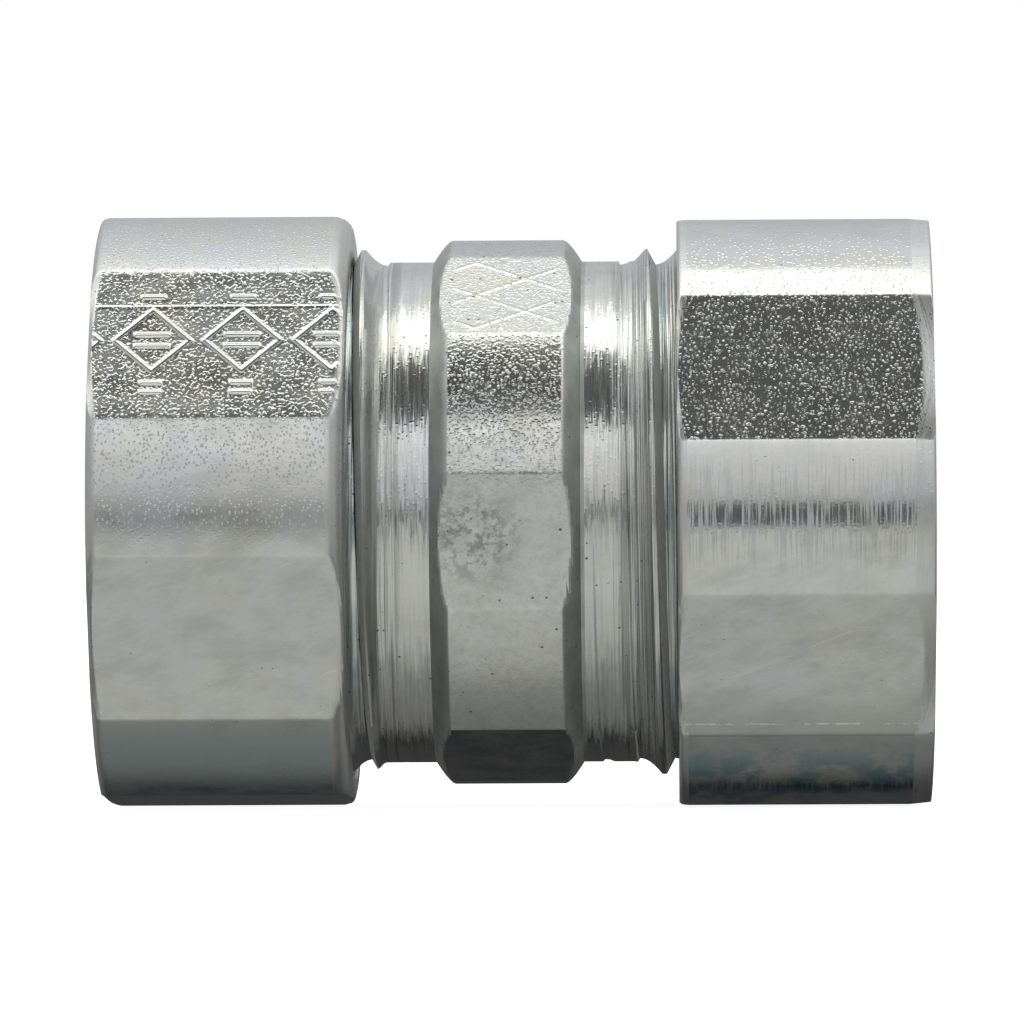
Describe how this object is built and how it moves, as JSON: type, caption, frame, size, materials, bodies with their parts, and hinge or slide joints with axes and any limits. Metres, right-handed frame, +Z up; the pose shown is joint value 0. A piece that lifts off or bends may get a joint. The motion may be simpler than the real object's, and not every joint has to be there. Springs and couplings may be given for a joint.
{
  "type": "conduit compression coupling",
  "caption": "Zinc-plated steel coupling for thin-wall conduit: a threaded body with a hexagon middle, and at each end a screwed gland nut holding a washer, a seal and a split gland ring.",
  "frame": {"origin": "middle of the coupling body, on the conduit axis, in the middle of the conduit stop", "axes": "+X along the conduit axis to the right-hand gland nut, +Z up"},
  "size_m": [0.0372, 0.0272, 0.0266],
  "materials": {
    "body_zinc": "zinc plated, satin, turned",
    "nut_zinc": "zinc plated, satin, pebbled flats",
    "washer_steel": "bright, fine ground",
    "seal_elastomer": "matt moulded",
    "ring_steel": "zinc plated, dull"
  },
  "bodies": {
    "coupling": {"coupling_body": "body_zinc"},
    "left_gland": {"left_friction_washer": "washer_steel", "left_sealing_ring": "seal_elastomer", "left_gland_ring": "ring_steel"},
    "left_nut": {"left_gland_nut": "nut_zinc"},
    "right_gland": {"right_friction_washer": "washer_steel", "right_sealing_ring": "seal_elastomer", "right_gland_ring": "ring_steel"},
    "right_nut": {"right_gland_nut": "nut_zinc"}
  },
  "joints": [
    {"name": "left_gland_slide", "type": "slide", "parent": "coupling", "child": "left_gland", "axis": [-1, 0, 0], "range_m": [-0.00121, 0.0051]},
    {"name": "left_nut_turn", "type": "hinge", "parent": "left_gland", "child": "left_nut", "pos_m": [-0.01265, 0, 0], "axis": [-1, 0, 0], "range_deg": [-272, 1152]},
    {"name": "right_gland_slide", "type": "slide", "parent": "coupling", "child": "right_gland", "axis": [1, 0, 0], "range_m": [-0.00181, 0.0045]},
    {"name": "right_nut_turn", "type": "hinge", "parent": "right_gland", "child": "right_nut", "pos_m": [0.01325, 0, 0], "axis": [1, 0, 0], "range_deg": [-408, 1016]}
  ],
  "couplings": [
    {"joint": "left_gland_slide", "follows": "left_nut_turn", "m_per_rad": 0.00025266},
    {"joint": "right_gland_slide", "follows": "right_nut_turn", "m_per_rad": 0.00025266}
  ]
}
